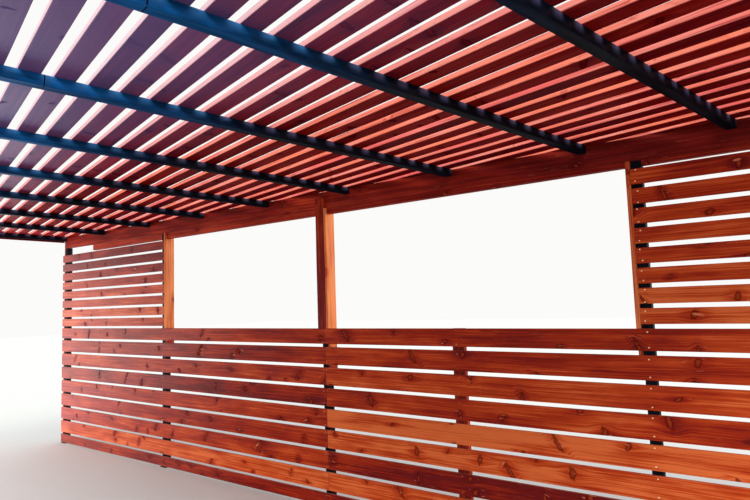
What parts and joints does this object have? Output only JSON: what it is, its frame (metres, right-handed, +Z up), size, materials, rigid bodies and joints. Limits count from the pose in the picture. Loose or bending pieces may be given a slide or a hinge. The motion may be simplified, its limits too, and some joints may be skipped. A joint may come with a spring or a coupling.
{
  "type": "timber pergola with a boarded screen",
  "caption": "Garden pergola: slatted timber roof on dark steel rafters and posts, with a horizontally boarded screen and window openings along the rear.",
  "frame": {"origin": "middle of the whole plan, at ground level", "axes": "+X along the boarded screen, to the right as seen from under the roof; +Y from the open front towards the screen; +Z up"},
  "size_m": [9.5283, 4.6837, 2.6782],
  "materials": {
    "steel_tube": "satin blue-black paint",
    "roof_timber": "red-stained softwood slats",
    "beam_timber": "dark red-stained softwood",
    "screen_timber": "red-orange stained softwood boards",
    "trim_timber": "red-stained softwood uprights"
  },
  "bodies": {
    "root": {"end_trim_left": "trim_timber", "end_trim_right": "trim_timber", "fascia_left": "beam_timber", "fascia_right": "beam_timber", "front_beam_left": "beam_timber", "front_beam_right": "beam_timber", "front_post_1": "steel_tube", "front_post_2": "steel_tube", "front_post_3": "steel_tube", "front_post_4": "steel_tube", "front_post_5": "steel_tube", "headers": "beam_timber", "lower_boards_left": "screen_timber", "lower_boards_right": "screen_timber", "post_cover": "trim_timber", "rafter_1": "steel_tube", "rafter_10": "steel_tube", "rafter_11": "steel_tube", "rafter_2": "steel_tube", "rafter_3": "steel_tube", "rafter_4": "steel_tube", "rafter_5": "steel_tube", "rafter_6": "steel_tube", "rafter_7": "steel_tube", "rafter_8": "steel_tube", "rafter_9": "steel_tube", "rear_beam_left": "beam_timber", "rear_beam_right": "beam_timber", "roof_slats_1": "roof_timber", "roof_slats_2": "roof_timber", "roof_slats_3": "roof_timber", "roof_slats_4": "roof_timber", "roof_slats_5": "roof_timber", "screen_post_1": "steel_tube", "screen_post_2": "steel_tube", "screen_post_3": "steel_tube", "screen_post_4": "steel_tube", "screen_post_5": "steel_tube", "screen_stud": "trim_timber", "upper_boards_left": "screen_timber", "upper_boards_right": "screen_timber", "window_jamb_left": "trim_timber", "window_jamb_middle": "trim_timber", "window_jamb_right": "trim_timber"}
  },
  "joints": []
}
